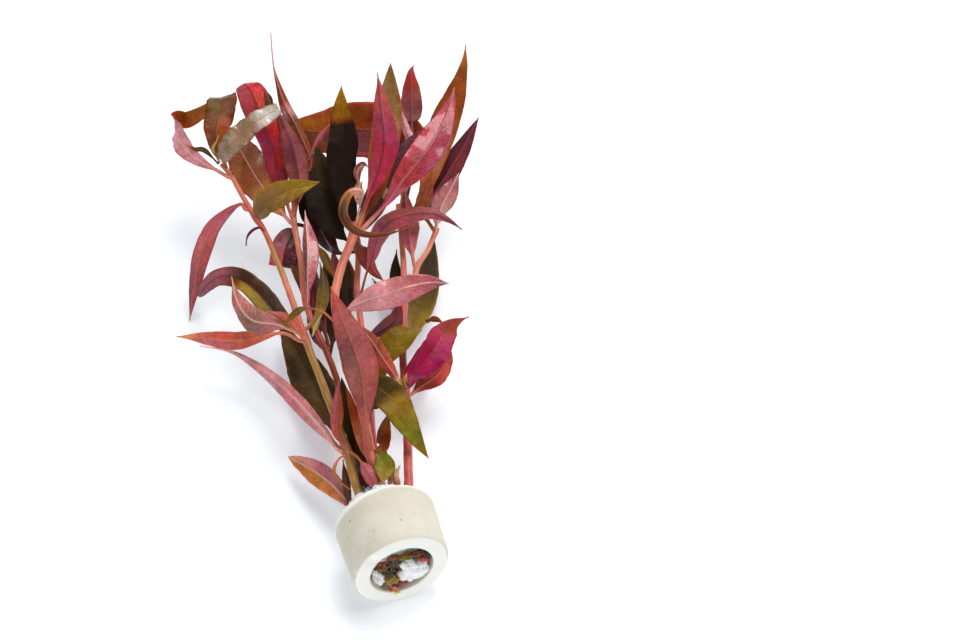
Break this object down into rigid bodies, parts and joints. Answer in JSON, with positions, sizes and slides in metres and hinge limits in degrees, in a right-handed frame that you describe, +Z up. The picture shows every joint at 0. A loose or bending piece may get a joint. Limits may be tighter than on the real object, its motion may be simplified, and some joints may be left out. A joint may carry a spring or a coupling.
{
  "type": "potted scarlet temple",
  "caption": "Cut stems of scarlet temple, a red aquarium plant with lance-shaped leaves, held by mineral wool in a ceramic ring pot and lying on its side.",
  "frame": {"origin": "on the surface the bunch lies on, under the middle of its bounding box", "axes": "+Y from the pot's bottom face towards the tips of the leaves, +Z up from the surface, +X to the right when looking along +Y"},
  "size_m": [0.1156, 0.1962, 0.0685],
  "materials": {
    "ring_pot": "unglazed, matte",
    "wool_plug": "fibrous",
    "stem": "satin",
    "leaf_underside": "satin",
    "leaf_upper": "satin"
  },
  "bodies": {
    "root": {"ring_pot": "ring_pot", "wool_plug": "wool_plug", "stem_a": "stem", "stem_b": "stem", "stem_c": "stem", "stem_d": "stem", "stem_e": "stem", "side_shoot": "stem", "leaf_pot_left": "leaf_underside", "leaf_a1_long": "leaf_underside", "leaf_a1_narrow": "leaf_underside", "leaf_a1_drooping": "leaf_underside", "leaf_a1_olive": "leaf_upper", "leaf_a2_orange": "leaf_underside", "leaf_a2_curl": "leaf_underside", "leaf_a2_small": "leaf_underside", "leaf_a2_arch": "leaf_upper", "leaf_a2_back": "leaf_upper", "leaf_a3_arc": "leaf_underside", "leaf_a3_tan": "leaf_upper", "leaf_a4_bent": "leaf_underside", "leaf_a4_hanging": "leaf_upper", "leaf_a4_wet": "leaf_upper", "leaf_b1_pink": "leaf_underside", "leaf_b1_under": "leaf_upper", "leaf_b2_torn": "leaf_underside", "leaf_b2_broad": "leaf_upper", "leaf_b2_crimson": "leaf_underside", "leaf_b2_mauve": "leaf_underside", "leaf_b3_spike": "leaf_underside", "leaf_c1_great": "leaf_underside", "leaf_c1_green": "leaf_upper", "leaf_c1_brown": "leaf_upper", "leaf_c2_thin": "leaf_upper", "leaf_c2_pale": "leaf_underside", "leaf_c3_upright": "leaf_underside", "leaf_c3_behind": "leaf_upper", "leaf_c3_glossy": "leaf_underside", "leaf_c3_hook": "leaf_underside", "leaf_d1_ribbon": "leaf_upper", "leaf_d1_folded": "leaf_upper", "leaf_d2_arch": "leaf_underside", "leaf_d2_under": "leaf_upper", "leaf_d3_dark": "leaf_upper", "leaf_d3_black": "leaf_upper", "leaf_e1_magenta": "leaf_upper", "leaf_e1_red": "leaf_underside", "leaf_e1_narrow": "leaf_underside", "leaf_e1_under": "leaf_upper", "leaf_e2_olive": "leaf_upper", "leaf_e3_maroon": "leaf_underside", "leaf_e3_under": "leaf_upper", "leaf_e4_red": "leaf_underside", "leaf_e4_narrow": "leaf_underside", "leaf_e4_tall": "leaf_upper", "leaf_e4_purple": "leaf_underside", "leaf_e4_wide": "leaf_upper", "leaf_s1_pink": "leaf_underside", "leaf_s2_pink": "leaf_underside", "leaf_s2_brown": "leaf_upper"}
  },
  "joints": []
}
